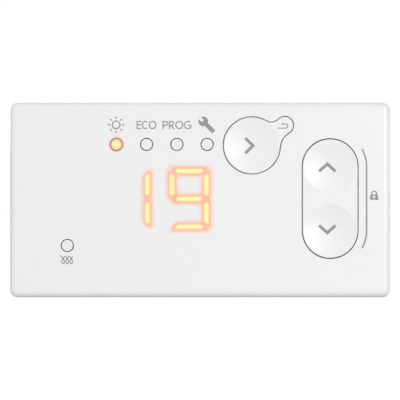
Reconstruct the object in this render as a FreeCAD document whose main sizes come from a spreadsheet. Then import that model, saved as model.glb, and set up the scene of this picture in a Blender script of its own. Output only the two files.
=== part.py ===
import FreeCAD, Part

import os
import re

import Sketcher

# Plug-in control unit of an electric convector heater, in millimetres.
# X runs to the right, Z up and Y from the face into the heater. The origin is the centre of the
# cover's rear rim, which seats on the heater's panel. A depth is measured from that rim
# towards the face, so what lies inside the heater has a negative depth.

SIZES = {
    # Front cover
    "face_width": 88.0,
    "face_height": 45.0,
    "corner_round": 1.8,
    "edge_round": 1.6,
    "side_wall": 2.0,
    "face_wall": 2.0,
    "window_wall": 0.8,
    "cavity_round": 1.0,
    "key_room": 8.4,
    # Gaps and edges that both keys share
    "key_gap": 0.22,
    "key_edge": 0.15,
    "dish_margin": 0.3,
    "dish_depth": 0.8,
    "stem_round": 2.0,
    "stop_clear": 0.05,
    # Mode key: a round with a lobe, joined by two hollow necks
    "mode_margin": 0.585,
    "mode_round": 6.615,
    "lobe_round": 2.07,
    "lobe_stand": 2.255,
    "lobe_angle": 31.5,
    "upper_neck": 2.22,
    "lower_neck": 3.98,
    "flange_lip": 0.6,
    "flange_thick": 0.8,
    "key_spacing": 1.97,
    # Temperature rocker and the saddle that carries its pin
    "rocker_margin": 0.63,
    "rocker_rise": 0.32,
    "rocker_half_width": 6.45,
    "rocker_arm": 7.35,
    "tilt_room": 0.02,
    "rocker_cap": 2.4,
    "stem_arm": 8.0,
    "tongue_width": 5.0,
    "tongue_round": 1.4,
    "cheek_round": 1.6,
    "cheek_thick": 1.8,
    "side_clear": 0.15,
    "cap_clear": 0.4,
    "pivot_clear": 0.2,
    "pin_round": 0.75,
    "pin_clear": 0.04,
    "saddle_thick": 1.4,
    "saddle_height": 5.4,
    "guide_gap": 0.6,
    "guide_wall": 1.2,
    "guide_width": 1.6,
    "guide_height": 3.0,
    "guide_overrun": 0.8,
    # Silicone mat and its contacts
    "mat_thick": 0.8,
    "mat_border": 5.0,
    "dome_round": 3.2,
    "dome_wall": 0.8,
    "dome_roof": 0.8,
    "saddle_pad_round": 2.4,
    "contact_round": 1.4,
    "contact_gap": 0.75,
    # Indicator lamps: a row of four and one alone
    "lamp_round": 1.42,
    "lamp_gap": 0.22,
    "lamp_pitch": 6.98,
    "lamp_rise": 0.23,
    "row_gap": 3.708,
    "heating_inset": 13.39,
    "heating_lift": 12.01,
    "collar_lip": 0.9,
    "collar_thick": 0.8,
    "chip_gap": 0.2,
    # Two-digit display
    "digit_width": 7.92,
    "digit_height": 12.81,
    "digit_pitch": 13.6,
    "display_shift": 4.137,
    "display_drop": 12.56,
    "well_width": 1.5,
    "well_gap": 0.3,
    "light_box_rim": 1.0,
    "film_thick": 0.2,
    "window_clear": 0.2,
    "chip_length": 1.6,
    "chip_width": 0.8,
    "chip_thick": 0.7,
    # Circuit board and the parts on it
    "board_back": 3.0,
    "board_thick": 1.6,
    "board_clear": 0.5,
    "board_round": 1.0,
    "part_gap": 1.5,
    "part_edge": 0.5,
    "relay_length": 19.0,
    "relay_width": 15.5,
    "relay_height": 15.3,
    "dropper_length": 18.0,
    "dropper_width": 8.5,
    "dropper_height": 14.0,
    "reservoir_round": 4.0,
    "reservoir_clear": 0.4,
    "varistor_round": 4.5,
    "varistor_rise": 6.0,
    "varistor_thick": 4.0,
    "fuse_length": 8.5,
    "fuse_width": 4.0,
    "fuse_height": 8.0,
    "rectifier_length": 5.0,
    "rectifier_width": 4.0,
    "rectifier_height": 2.5,
    "processor_side": 7.0,
    "processor_height": 1.4,
    "processor_gap": 2.0,
    "processor_rise": 6.0,
    "bead_round": 1.2,
    "bead_stand": 3.4,
    "lead_round": 0.25,
    "lead_spacing": 1.2,
    "sensor_inset": 11.0,
    "sensor_lift": 5.0,
    "vent_width": 1.4,
    "vent_length": 5.0,
    "vent_pitch": 2.8,
    "vent_depth": 6.0,
    # Rear housing
    "seat_recess": 0.3,
    "seat_clear": 0.2,
    "plate_thick": 1.5,
    "box_side_inset": 8.5,
    "box_top_inset": 4.5,
    "box_depth": 17.0,
    "box_wall": 1.8,
    "rear_wall": 1.8,
    "box_round": 2.0,
    "box_edge": 0.8,
    "slot_width": 1.6,
    "slot_length": 11.0,
    "slot_pitch": 3.4,
    "label_width": 27.0,
    "label_height": 9.0,
    "label_depth": 0.3,
    "hook_offset": 18.0,
    "hook_width": 8.0,
    "hook_reach": 1.0,
    "hook_length": 3.4,
    "panel_thick": 1.2,
    "slit_width": 0.8,
    "slit_length": 9.0,
    # Connector bay and its blades
    "bay_width": 28.0,
    "bay_height": 12.0,
    "bay_depth": 11.0,
    "bay_wall": 1.6,
    "bay_side": 4.5,
    "bay_lift": 8.0,
    "blade_width": 4.8,
    "blade_thick": 0.8,
    "blade_pitch": 6.6,
    "blade_recess": 2.5,
    "blade_tip": 0.9,
    "blade_hole": 0.8,
    "blade_hole_inset": 3.4,
    "blade_clear": 0.15,
    # Screws
    "screw_inset": 5.5,
    "boss_round": 2.6,
    "screw_round": 1.1,
    "screw_grip": 5.0,
    "screw_spare": 1.0,
    "screw_clear": 0.25,
    "head_round": 2.0,
    "head_thick": 1.2,
    "cross_length": 2.2,
    "cross_width": 0.5,
    "cross_depth": 0.7,
}

DIGITS = 2
BLADES = 4
VENTS = 5
REAR_SLOTS = 6

# Places that follow from the sizes, as expressions of them
PLACES = {
    # Depths
    "board_front": "board_back + board_thick",
    "inner_face": "board_front + key_room",
    "cover_depth": "inner_face + face_wall",
    "window_floor": "cover_depth - window_wall",
    "film_back": "window_floor - film_thick",
    "flange_back": "inner_face - stop_clear - flange_thick",
    "cap_back": "cover_depth - rocker_cap",
    "pin_depth": "cap_back - cap_clear - cheek_round",
    "saddle_front": "pin_depth - tongue_round - pivot_clear",
    "saddle_back": "saddle_front - saddle_thick",
    "mat_front": "board_front + mat_thick",
    "dome_ceiling": "saddle_back - dome_roof",
    "chip_front": "board_front + chip_thick",
    "plate_front": "seat_recess + plate_thick",
    "bay_floor": "bay_depth - box_depth",
    "blade_end": "blade_recess - box_depth",
    "head_seat": "seat_recess + head_thick",
    "screw_end": "board_front + screw_grip",
    "reservoir_height": "board_back - bay_floor - bay_wall - reservoir_clear",
    # Outlines
    "half_gap": "key_gap / 2",
    "cavity_width": "face_width - 2 * side_wall",
    "cavity_height": "face_height - 2 * side_wall",
    "board_width": "cavity_width - 2 * board_clear",
    "board_height": "cavity_height - 2 * board_clear",
    "box_width": "face_width - 2 * box_side_inset",
    "box_height": "face_height - 2 * box_top_inset",
    "box_right": "box_width / 2 - box_wall",
    "box_top": "box_height / 2 - box_wall",
    "light_box_width": "(digit_pitch + digit_width + well_width) + 2 * light_box_rim",
    "light_box_height": "digit_height + well_width + 2 * light_box_rim",
    "tongue_side": "tongue_width / 2 + side_clear",
    "pin_half": "tongue_side + cheek_thick",
    "guide_block": "guide_width + 2 * side_clear + 2 * guide_wall",
    "guide_offset": "rocker_half_width + guide_gap + guide_block / 2",
    "saddle_half": "guide_offset + guide_block / 2",
    # Centres
    "rocker_x": "face_width / 2 - side_wall - rocker_margin - saddle_half",
    "rocker_z": "rocker_rise",
    "lobe_reach": "mode_round + lobe_stand",
    "mode_x": "rocker_x - rocker_half_width - key_spacing - lobe_round - lobe_reach * cos(lobe_angle)",
    "mode_z": "face_height / 2 - side_wall - mode_margin - flange_lip - half_gap - mode_round",
    "lobe_x": "mode_x + lobe_reach * cos(lobe_angle)",
    "lobe_z": "mode_z + lobe_reach * sin(lobe_angle)",
    "lamp_x": "mode_x - mode_round - row_gap",
    "lamp_z": "mode_z + lamp_rise",
    "heating_x": "heating_inset - face_width / 2",
    "heating_z": "heating_lift - face_height / 2",
    "units_x": "lamp_x - display_shift",
    "display_x": "units_x - digit_pitch / 2",
    "display_z": "lamp_z - display_drop",
    "screw_x": "face_width / 2 - screw_inset",
    "screw_z": "face_height / 2 - screw_inset",
    "bay_x": "box_width / 2 - bay_side - bay_width / 2",
    "bay_z": "bay_lift - box_height / 2 + bay_height / 2",
    "sensor_x": "sensor_inset - face_width / 2",
    "sensor_z": "sensor_lift - face_height / 2",
    "processor_x": "display_x - light_box_width / 2 - processor_gap - processor_side / 2",
    "relay_x": "part_gap + relay_length / 2 - box_right",
    "relay_z": "box_top - part_gap - relay_width / 2",
    "dropper_x": "part_gap + dropper_length / 2 - box_right",
    "dropper_z": "relay_z - relay_width / 2 - part_gap - dropper_width / 2",
    "second_column": "relay_x + relay_length / 2 + part_gap",
    "varistor_x": "second_column + varistor_round",
    "varistor_z": "box_top - part_gap - varistor_thick / 2",
    "fuse_x": "varistor_x + varistor_round + part_gap + fuse_length / 2",
    "fuse_z": "box_top - part_gap - fuse_width / 2",
    "rectifier_x": "second_column + rectifier_length / 2",
    "rectifier_z": "varistor_z - varistor_thick / 2 - part_gap - rectifier_width / 2",
    "reservoir_x": "fuse_x + fuse_length / 2 + part_gap + reservoir_round",
    "reservoir_z": "box_top - part_gap - reservoir_round",
}

doc = FreeCAD.newDocument("control_unit")
sheet = doc.addObject("Spreadsheet::Sheet", "sizes")
for row, (name, size) in enumerate(SIZES.items(), start=1):
    sheet.set(f"A{row}", name)
    sheet.set(f"B{row}", str(size))
    sheet.setAlias(f"B{row}", name)
doc.recompute()

FACING = FreeCAD.Vector(0, 0, 1)


def expression(text):
    """Spell out a length, such as "rocker_x + stem_arm", in cells of the sheet."""

    def spell(match):
        word = match.group()
        if word in PLACES:
            return f"({expression(PLACES[word])})"
        return f"sizes.{word}" if word in SIZES else word

    return re.sub(r"[a-z_]+", spell, text)


def length(text):
    """The present value of a length."""
    return float(sheet.evalExpression(expression(text)))


def bind(thing, prop, text):
    thing.setExpression(prop, expression(text))


# Sketches, in which a point is a pair of lengths: across and up

def new_body(label):
    body = doc.addObject("PartDesign::Body", label)
    body.Label = label
    body.AllowCompound = True
    return body


def sketch_on(body, name, offset, plane="XZ_Plane"):
    """A sketch on one of the body's own planes, moved along that plane's normal.
    The XZ plane faces the front, so there the offset is a depth."""
    planes = {feature.Role: feature for feature in body.Origin.OriginFeatures}
    sketch = body.newObject("Sketcher::SketchObject", name)
    sketch.AttachmentSupport = [(planes[plane], "")]
    sketch.MapMode = "FlatFace"
    bind(sketch, "AttachmentOffset.Base.z", offset)
    return sketch


def spot(across, up):
    return FreeCAD.Vector(length(across), length(up), 0)


def drive(sketch, kind, places, text):
    """Add a dimension that follows the sheet."""
    number = sketch.addConstraint(Sketcher.Constraint(kind, *places, length(text)))
    bind(sketch, f"Constraints[{number}]", text)


def hold(sketch, edge, point, across, up):
    """Hold a point of an edge at its distances from the sketch's origin."""
    drive(sketch, "DistanceX", (-1, 1, edge, point), across)
    drive(sketch, "DistanceY", (-1, 1, edge, point), up)


def circle(sketch, across, up, radius):
    edge = sketch.addGeometry(Part.Circle(spot(across, up), FACING, length(radius)))
    hold(sketch, edge, 3, across, up)
    drive(sketch, "Radius", (edge,), radius)


def polygon(sketch, corners):
    spots = [spot(across, up) for across, up in corners]
    edges = []
    for here, there in zip(spots, spots[1:] + spots[:1]):
        edges.append(sketch.addGeometry(Part.LineSegment(here, there)))
    for edge, following in zip(edges, edges[1:] + edges[:1]):
        sketch.addConstraint(Sketcher.Constraint("Coincident", edge, 2, following, 1))
    for edge, (across, up) in zip(edges, corners):
        hold(sketch, edge, 1, across, up)


def rectangle(sketch, across, up, width, height):
    left, right = f"{across} - ({width}) / 2", f"{across} + ({width}) / 2"
    low, high = f"{up} - ({height}) / 2", f"{up} + ({height}) / 2"
    polygon(sketch, [(left, low), (right, low), (right, high), (left, high)])


def arc_outline(sketch, arcs):
    """A closed outline of arcs, taken counterclockwise, with a straight tangent between two that
    don't touch. An arc is its middle, its radius and +1 where it swells or -1 where it is hollow."""
    radii = [length(radius) for middle, radius, sense in arcs]
    starts, ends = [None] * len(arcs), [None] * len(arcs)
    for here, (middle, radius, sense) in enumerate(arcs):
        there = (here + 1) % len(arcs)
        across = arcs[there][0] - middle
        if sense == arcs[there][2]:
            outward = FreeCAD.Vector(across.y, -across.x, 0).normalize()
            ends[here] = middle + outward * radii[here]
            starts[there] = arcs[there][0] + outward * radii[there]
        else:
            ends[here] = middle + FreeCAD.Vector(across).normalize() * radii[here]
            starts[there] = ends[here]
    chain, rounds = [], []
    for here, (middle, radius, sense) in enumerate(arcs):
        ring = Part.Circle(middle, FACING, radii[here])
        limits = [ring.parameter(point) for point in (starts[here], ends[here])]
        edge = sketch.addGeometry(Part.ArcOfCircle(ring, *limits[::sense]))
        rounds.append(edge)
        chain.append((edge, 1, 2) if sense > 0 else (edge, 2, 1))
        there = (here + 1) % len(arcs)
        if sense == arcs[there][2]:
            edge = sketch.addGeometry(Part.LineSegment(ends[here], starts[there]))
            chain.append((edge, 1, 2))
    for (edge, first, last), (following, begin, finish) in zip(chain, chain[1:] + chain[:1]):
        sketch.addConstraint(Sketcher.Constraint("Tangent", edge, last, following, begin))
    for edge, (middle, radius, sense) in zip(rounds, arcs):
        drive(sketch, "Radius", (edge,), radius)
    return rounds


def rounded(sketch, across, up, width, height, radius):
    """A rectangle with round corners."""
    reach, rise = f"(({width}) / 2 - ({radius}))", f"(({height}) / 2 - ({radius}))"
    signs = [(1, -1), (1, 1), (-1, 1), (-1, -1)]
    places = [(f"{across} + {side} * {reach}", f"{up} + {level} * {rise}") for side, level in signs]
    rounds = arc_outline(sketch, [(spot(*place), radius, 1) for place in places])
    for edge, place in zip(rounds, places):
        hold(sketch, edge, 3, *place)


def slot(sketch, across, up, half_width, arm):
    """An upright slot, whose end arcs have their middles an arm above and below the centre."""
    places = [(across, f"{up} - ({arm})"), (across, f"{up} + {arm}")]
    rounds = arc_outline(sketch, [(spot(*place), half_width, 1) for place in places])
    for edge, place in zip(rounds, places):
        hold(sketch, edge, 3, *place)


def teardrop(sketch, grow):
    """The mode key's outline, moved out by a length: the round, a neck, the lobe, a neck."""
    big, small = f"mode_round + {grow}", f"lobe_round + {grow}"
    reach = length("lobe_reach")
    turn = FreeCAD.Rotation(FACING, length("lobe_angle"))
    middle = spot("mode_x", "mode_z")
    necks = []
    for name, way in (("lower_neck", -1), ("upper_neck", 1)):
        radius = f"{name} - ({grow})"
        base, side = length(f"{big} + {radius}"), length(f"{small} + {radius}")
        along = (base ** 2 - side ** 2 + reach ** 2) / (2 * reach)
        aside = (base ** 2 - along ** 2) ** 0.5
        necks.append((middle + turn.multVec(FreeCAD.Vector(along, way * aside, 0)), radius, -1))
    lobe = (spot("lobe_x", "lobe_z"), small, 1)
    rounds = arc_outline(sketch, [(middle, big, 1), necks[0], lobe, necks[1]])
    hold(sketch, rounds[0], 3, "mode_x", "mode_z")
    hold(sketch, rounds[2], 3, "lobe_x", "lobe_z")


# Features, which run along their sketch's normal unless they go back

def pad(body, sketch, text, back=False):
    feature = body.newObject("PartDesign::Pad", f"{sketch.Name}_pad")
    feature.Profile = sketch
    bind(feature, "Length", text)
    feature.Reversed = back
    doc.recompute()
    return feature


def pocket(body, sketch, text, back=False):
    before = body.Shape.Volume
    feature = body.newObject("PartDesign::Pocket", f"{sketch.Name}_pocket")
    feature.Profile = sketch
    bind(feature, "Length", text)
    feature.Reversed = not back
    doc.recompute()
    if not body.Shape.Volume < before:
        raise RuntimeError(f"{sketch.Name} cuts nothing from {body.Label}")
    return feature


def dish(body, name, across, up, radius):
    """A shallow spherical hollow in a key's face."""
    ball = body.newObject("PartDesign::SubtractiveSphere", name)
    planes = {feature.Role: feature for feature in body.Origin.OriginFeatures}
    ball.AttachmentSupport = [(planes["XZ_Plane"], "")]
    ball.MapMode = "FlatFace"
    sphere = f"((({radius}) ^ 2 + dish_depth ^ 2) / (2 * dish_depth))"
    bind(ball, "Radius", sphere)
    bind(ball, "AttachmentOffset.Base.x", across)
    bind(ball, "AttachmentOffset.Base.y", up)
    bind(ball, "AttachmentOffset.Base.z", f"cover_depth - dish_depth + {sphere}")
    doc.recompute()


def round_edges(body, name, radius, depth):
    """Round every edge that lies at one depth."""
    level = -length(depth)
    base = body.Tip
    edges = []
    for number, edge in enumerate(body.Shape.Edges, start=1):
        box = edge.BoundBox
        if abs(box.YMin - level) < 1e-5 and abs(box.YMax - level) < 1e-5:
            edges.append(f"Edge{number}")
    feature = body.newObject("PartDesign::Fillet", name)
    feature.Base = (base, edges)
    bind(feature, "Radius", radius)
    doc.recompute()


def corners(across, up):
    """The four places at plus and minus two lengths."""
    return [(f"{side} * ({across})", f"{level} * ({up})") for side in (1, -1) for level in (1, -1)]


def series(count, middle, pitch):
    """Places in a row about a middle."""
    return [f"{middle} + ({number - (count - 1) / 2}) * {pitch}" for number in range(count)]


LAMPS = {
    "service": ("lamp_x", "lamp_z"),
    "programme": ("lamp_x - lamp_pitch", "lamp_z"),
    "eco": ("lamp_x - 2 * lamp_pitch", "lamp_z"),
    "comfort": ("lamp_x - 3 * lamp_pitch", "lamp_z"),
    "heating": ("heating_x", "heating_z"),
}
SCREWS = corners("screw_x", "screw_z")
BLADE_PLACES = series(BLADES, "bay_x", "blade_pitch")
STEM_PLACES = [("rocker_x", "rocker_z + stem_arm"), ("rocker_x", "rocker_z - stem_arm")]
GUIDE_PLACES = ["rocker_x - guide_offset", "rocker_x + guide_offset"]


# Front cover

def make_front_cover():
    body = new_body("front_cover")
    outline = sketch_on(body, "cover_outline", "0")
    rounded(outline, "0", "0", "face_width", "face_height", "corner_round")
    pad(body, outline, "cover_depth")
    round_edges(body, "face_edge", "edge_round", "cover_depth")
    cavity = sketch_on(body, "cover_cavity", "0")
    rounded(cavity, "0", "0", "cavity_width", "cavity_height", "cavity_round")
    pocket(body, cavity, "inner_face")
    window = sketch_on(body, "display_window", "inner_face")
    wide, tall = "light_box_width + 2 * window_clear", "light_box_height + 2 * window_clear"
    rectangle(window, "display_x", "display_z", wide, tall)
    pocket(body, window, "face_wall - window_wall")
    openings = sketch_on(body, "key_openings", "inner_face")
    teardrop(openings, "half_gap")
    slot(openings, "rocker_x", "rocker_z", "rocker_half_width + half_gap", "rocker_arm + tilt_room")
    for across, up in LAMPS.values():
        circle(openings, across, up, "lamp_round + lamp_gap / 2")
    pocket(body, openings, "face_wall")
    bosses = sketch_on(body, "screw_bosses", "inner_face")
    for across, up in SCREWS:
        circle(bosses, across, up, "boss_round")
    pad(body, bosses, "inner_face - board_front", back=True)
    pilots = sketch_on(body, "pilot_holes", "board_front")
    for across, up in SCREWS:
        circle(pilots, across, up, "screw_round")
    pocket(body, pilots, "screw_grip + screw_spare")
    guides = sketch_on(body, "saddle_guides", "inner_face")
    for across in GUIDE_PLACES:
        rectangle(guides, across, "rocker_z", "guide_width", "guide_height")
    pad(body, guides, "inner_face - saddle_back + guide_overrun", back=True)
    vents = sketch_on(body, "air_vents", "-face_height / 2", "XY_Plane")
    middle, arm = "-(vent_depth + vent_length / 2)", "(vent_length - vent_width) / 2"
    for across in series(VENTS, "sensor_x", "vent_pitch"):
        slot(vents, across, middle, "vent_width / 2", arm)
    pocket(body, vents, "side_wall")
    return body


# Keys and what carries them

def make_mode_key():
    body = new_body("mode_key")
    cap = sketch_on(body, "mode_cap", "cover_depth")
    teardrop(cap, "(-half_gap)")
    pad(body, cap, "cover_depth - flange_back", back=True)
    round_edges(body, "mode_edge", "key_edge", "cover_depth")
    dish(body, "mode_dish", "mode_x", "mode_z", "mode_round - half_gap - dish_margin")
    flange = sketch_on(body, "mode_flange", "flange_back")
    teardrop(flange, "(half_gap + flange_lip)")
    pad(body, flange, "flange_thick")
    stem = sketch_on(body, "mode_stem", "flange_back")
    circle(stem, "mode_x", "mode_z", "stem_round")
    pad(body, stem, "flange_back - saddle_back", back=True)
    return body


def make_temperature_rocker():
    body = new_body("temperature_rocker")
    cap = sketch_on(body, "rocker_cap_outline", "cover_depth")
    slot(cap, "rocker_x", "rocker_z", "rocker_half_width - half_gap", "rocker_arm")
    pad(body, cap, "rocker_cap", back=True)
    round_edges(body, "rocker_edge", "key_edge", "cover_depth")
    for name, way in (("upper_dish", "+"), ("lower_dish", "-")):
        hollow = "rocker_half_width - half_gap - dish_margin"
        dish(body, name, "rocker_x", f"rocker_z {way} rocker_arm", hollow)
    stems = sketch_on(body, "rocker_stems", "cap_back")
    for across, up in STEM_PLACES:
        circle(stems, across, up, "stem_round")
    pad(body, stems, "cap_back - saddle_back", back=True)
    tongue = sketch_on(body, "tongue_block", "cap_back")
    rectangle(tongue, "rocker_x", "rocker_z", "tongue_width", "2 * tongue_round")
    pad(body, tongue, "cap_back - pin_depth", back=True)
    left = "rocker_x - tongue_width / 2"
    knuckle = sketch_on(body, "tongue_end", left, "YZ_Plane")
    circle(knuckle, "-pin_depth", "rocker_z", "tongue_round")
    pad(body, knuckle, "tongue_width")
    bore = sketch_on(body, "tongue_bore", left, "YZ_Plane")
    circle(bore, "-pin_depth", "rocker_z", "pin_round + pin_clear")
    pocket(body, bore, "tongue_width")
    return body


def make_rocker_saddle():
    body = new_body("rocker_saddle")
    bar = sketch_on(body, "saddle_bar", "saddle_back")
    rectangle(bar, "rocker_x", "rocker_z", "2 * saddle_half", "saddle_height")
    pad(body, bar, "saddle_thick")
    blocks = sketch_on(body, "guide_blocks", "saddle_front")
    for across in GUIDE_PLACES:
        rectangle(blocks, across, "rocker_z", "guide_block", "saddle_height")
    pad(body, blocks, "inner_face - stop_clear - saddle_front")
    windows = sketch_on(body, "guide_windows", "saddle_back")
    wide, tall = "guide_width + 2 * side_clear", "guide_height + 2 * side_clear"
    for across in GUIDE_PLACES:
        rectangle(windows, across, "rocker_z", wide, tall)
    pocket(body, windows, "inner_face - saddle_back")
    cheeks = sketch_on(body, "cheek_blocks", "saddle_front")
    for way in "-+":
        middle = f"rocker_x {way} (tongue_side + cheek_thick / 2)"
        rectangle(cheeks, middle, "rocker_z", "cheek_thick", "2 * cheek_round")
    pad(body, cheeks, "pin_depth - saddle_front")
    for name, left in (("left", "rocker_x - pin_half"), ("right", "rocker_x + tongue_side")):
        knuckle = sketch_on(body, f"{name}_cheek_end", left, "YZ_Plane")
        circle(knuckle, "-pin_depth", "rocker_z", "cheek_round")
        pad(body, knuckle, "cheek_thick")
    bore = sketch_on(body, "pin_bore", "rocker_x - pin_half", "YZ_Plane")
    circle(bore, "-pin_depth", "rocker_z", "pin_round")
    pocket(body, bore, "2 * pin_half")
    return body


def make_rocker_pin():
    pin = doc.addObject("Part::Cylinder", "rocker_pin")
    pin.Label = "rocker_pin"
    pin.Placement.Rotation = FreeCAD.Rotation(FreeCAD.Vector(0, 1, 0), 90)
    bind(pin, "Radius", "pin_round")
    bind(pin, "Height", "2 * pin_half")
    bind(pin, "Placement.Base.x", "rocker_x - pin_half")
    bind(pin, "Placement.Base.y", "-pin_depth")
    bind(pin, "Placement.Base.z", "rocker_z")
    return pin


def make_key_mat():
    body = new_body("key_mat")
    left, right = "(mode_x - mat_border)", "(rocker_x + mat_border)"
    low, high = "(rocker_z - stem_arm - mat_border)", "(mode_z + mat_border)"
    outline = sketch_on(body, "mat_outline", "board_front")
    polygon(outline, [(left, low), (right, low), (right, high), (left, high)])
    pad(body, outline, "mat_thick")
    domes = sketch_on(body, "mat_domes", "mat_front")
    places = [("mode_x", "mode_z")] + STEM_PLACES
    for across, up in places:
        circle(domes, across, up, "dome_round")
    circle(domes, "rocker_x", "rocker_z", "saddle_pad_round")
    pad(body, domes, "saddle_back - mat_front")
    hollows = sketch_on(body, "dome_hollows", "board_front")
    for across, up in places:
        circle(hollows, across, up, "dome_round - dome_wall")
    pocket(body, hollows, "dome_ceiling - board_front")
    return body


def make_contacts(label, places):
    body = new_body(label)
    outline = sketch_on(body, f"{label}_outline", "board_front + contact_gap")
    for across, up in places:
        circle(outline, across, up, "contact_round")
    pad(body, outline, "dome_ceiling - board_front - contact_gap")
    return body


# Lamps and display

def make_light_pipe(name):
    across, up = LAMPS[name]
    body = new_body(f"{name}_light_pipe")
    rod = sketch_on(body, f"{name}_rod", "cover_depth")
    circle(rod, across, up, "lamp_round - lamp_gap / 2")
    pad(body, rod, "cover_depth - chip_front - chip_gap", back=True)
    round_edges(body, f"{name}_rod_edge", "key_edge", "cover_depth")
    collar = sketch_on(body, f"{name}_collar", "inner_face")
    circle(collar, across, up, "lamp_round + lamp_gap / 2 + collar_lip")
    pad(body, collar, "collar_thick", back=True)
    return body


def segment_places():
    """The middles of all bars and posts of the digits."""
    bars, posts = [], []
    for digit in range(DIGITS):
        middle = f"units_x - {digit} * digit_pitch"
        for level in (-1, 0, 1):
            bars.append((middle, f"display_z + {level} * digit_height / 2"))
        for side in (-1, 1):
            across = f"{middle} + {side} * digit_width / 2"
            for level in (-1, 1):
                posts.append((across, f"display_z + {level} * digit_height / 4"))
    return bars, posts


def mitred_well(sketch, across, up, reach, upright):
    """A well with pointed ends, along the first axis or upright."""
    half = "well_width / 2"
    outline = [(f"-({reach})", "0"), (f"{half} - ({reach})", f"-{half}"), (f"{reach} - {half}", f"-{half}"),
               (reach, "0"), (f"{reach} - {half}", half), (f"{half} - ({reach})", half)]
    if upright:
        outline = [(aside, along) for along, aside in reversed(outline)]
    polygon(sketch, [(f"{across} + ({shift})", f"{up} + ({lift})") for shift, lift in outline])


def make_display():
    bars, posts = segment_places()
    box = new_body("display_light_box")
    block = sketch_on(box, "light_box_outline", "board_front")
    rectangle(block, "display_x", "display_z", "light_box_width", "light_box_height")
    pad(box, block, "film_back - board_front")
    bar_wells = sketch_on(box, "bar_wells", "board_front")
    for across, up in bars:
        mitred_well(bar_wells, across, up, "digit_width / 2 - well_gap", upright=False)
    pocket(box, bar_wells, "film_back - board_front")
    post_wells = sketch_on(box, "post_wells", "board_front")
    for across, up in posts:
        mitred_well(post_wells, across, up, "digit_height / 4 - well_gap", upright=True)
    pocket(box, post_wells, "film_back - board_front")
    film = new_body("display_diffuser")
    sheet_outline = sketch_on(film, "film_outline", "film_back")
    rectangle(sheet_outline, "display_x", "display_z", "light_box_width", "light_box_height")
    pad(film, sheet_outline, "film_thick")
    chips = new_body("segment_leds")
    chip_outline = sketch_on(chips, "segment_chips", "board_front")
    for across, up in bars:
        rectangle(chip_outline, across, up, "chip_length", "chip_width")
    for across, up in posts:
        rectangle(chip_outline, across, up, "chip_width", "chip_length")
    pad(chips, chip_outline, "chip_thick")
    return [box, film, chips]


def make_indicator_leds():
    body = new_body("indicator_leds")
    outline = sketch_on(body, "indicator_chips", "board_front")
    for across, up in LAMPS.values():
        rectangle(outline, across, up, "chip_length", "chip_width")
    pad(body, outline, "chip_thick")
    return body


# Circuit board and the parts on it

def make_circuit_board():
    body = new_body("circuit_board")
    outline = sketch_on(body, "board_outline", "board_back")
    rounded(outline, "0", "0", "board_width", "board_height", "board_round")
    pad(body, outline, "board_thick")
    holes = sketch_on(body, "board_holes", "board_back")
    for across, up in SCREWS:
        circle(holes, across, up, "screw_round + screw_clear")
    pocket(body, holes, "board_thick")
    return body


def make_block(label, across, up, width, tall, stand):
    """A moulded part on the back of the board, with its far edges rounded."""
    body = new_body(label)
    outline = sketch_on(body, f"{label}_outline", "board_back")
    rounded(outline, across, up, width, tall, "part_edge")
    pad(body, outline, stand, back=True)
    round_edges(body, f"{label}_edge", "part_edge", f"board_back - ({stand})")
    return body


def make_processor():
    body = new_body("microcontroller")
    outline = sketch_on(body, "processor_outline", "board_front")
    rectangle(outline, "processor_x", "processor_rise", "processor_side", "processor_side")
    pad(body, outline, "processor_height")
    mark = sketch_on(body, "processor_mark", "board_front + processor_height")
    inset = "processor_side / 2 - processor_height"
    circle(mark, f"processor_x - ({inset})", f"processor_rise + {inset}", "processor_height / 3")
    pocket(body, mark, "processor_height / 7", back=True)
    return body


def make_reservoir():
    body = new_body("reservoir_capacitor")
    can = sketch_on(body, "reservoir_outline", "board_back")
    circle(can, "reservoir_x", "reservoir_z", "reservoir_round")
    pad(body, can, "reservoir_height", back=True)
    round_edges(body, "reservoir_edge", "part_edge", "board_back - reservoir_height")
    return body


def make_varistor():
    """A coated disc that stands on the board on its foot."""
    body = new_body("surge_varistor")
    low = "varistor_z - varistor_thick / 2"
    disc = sketch_on(body, "varistor_disc", low, "XY_Plane")
    circle(disc, "varistor_x", "varistor_rise - board_back", "varistor_round")
    pad(body, disc, "varistor_thick")
    foot = sketch_on(body, "varistor_foot", "board_back")
    rectangle(foot, "varistor_x", "varistor_z", "varistor_round", "varistor_thick / 2")
    pad(body, foot, "varistor_rise", back=True)
    return body


def make_air_sensor():
    """A thermistor bead on two leads, in front of the board."""
    bead = doc.addObject("Part::Sphere", "sensor_bead")
    bind(bead, "Radius", "bead_round")
    bind(bead, "Placement.Base.x", "sensor_x")
    bind(bead, "Placement.Base.y", "-(board_front + bead_stand)")
    bind(bead, "Placement.Base.z", "sensor_z")
    pieces = [bead]
    for number, way in enumerate("-+"):
        lead = doc.addObject("Part::Cylinder", f"sensor_lead_{number}")
        lead.Placement.Rotation = FreeCAD.Rotation(FreeCAD.Vector(1, 0, 0), 90)
        bind(lead, "Radius", "lead_round")
        bind(lead, "Height", "bead_stand")
        bind(lead, "Placement.Base.x", f"sensor_x {way} lead_spacing / 2")
        bind(lead, "Placement.Base.y", "-board_front")
        bind(lead, "Placement.Base.z", "sensor_z")
        pieces.append(lead)
    sensor = doc.addObject("Part::MultiFuse", "air_sensor")
    sensor.Label = "air_sensor"
    sensor.Shapes = pieces
    doc.recompute()
    return sensor


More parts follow.
